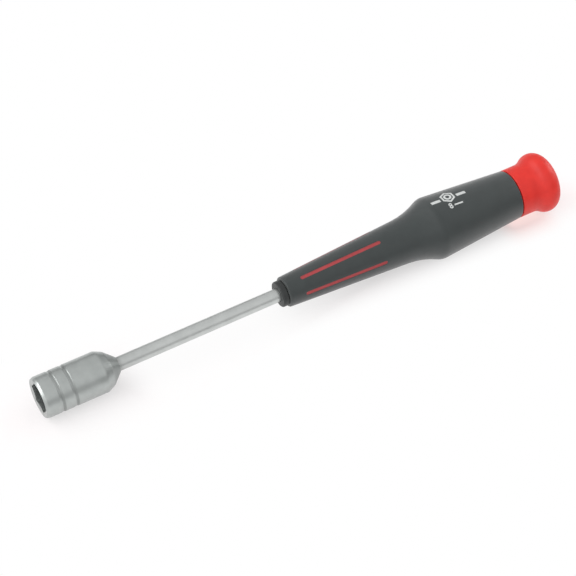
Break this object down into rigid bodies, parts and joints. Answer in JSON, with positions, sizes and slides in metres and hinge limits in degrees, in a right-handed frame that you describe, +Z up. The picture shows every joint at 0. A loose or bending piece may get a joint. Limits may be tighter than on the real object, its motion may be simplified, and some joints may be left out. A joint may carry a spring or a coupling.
{
  "type": "nut driver",
  "caption": "Nut driver with a hexagon socket on a slim round shaft, a tapered soft-grip handle with inlaid stripes, and a finger cap that turns freely.",
  "frame": {"origin": "centre of the hexagon socket's mouth, on the tool's axis", "axes": "+X along the tool's axis from the socket to the cap, +Z up as the tool lies on a table"},
  "size_m": [0.1649, 0.0188, 0.0188],
  "materials": {
    "socket_steel": "satin chrome on turned steel",
    "shaft_steel": "satin chrome",
    "collar_plastic": "matt moulded",
    "core_plastic": "matt moulded",
    "grip_rubber": "soft-touch, fine grain",
    "washer_plastic": "natural acetal",
    "screw_steel": "bright zinc",
    "bush_brass": "turned",
    "cap_plastic": "satin moulded"
  },
  "bodies": {
    "driver": {"socket": "socket_steel", "shaft": "shaft_steel", "nose_collar": "collar_plastic", "handle_core": "core_plastic", "grip_sleeve": "grip_rubber", "thrust_washer": "washer_plastic", "pivot_screw": "screw_steel", "head_washer": "screw_steel"},
    "cap": {"swivel_cap": "cap_plastic", "cap_bush": "bush_brass", "cap_disc": "cap_plastic"}
  },
  "joints": [
    {"name": "cap_spin", "type": "hinge", "parent": "driver", "child": "cap", "pos_m": [0.1518, 0, 0], "axis": [1, 0, 0], "continuous": true}
  ]
}
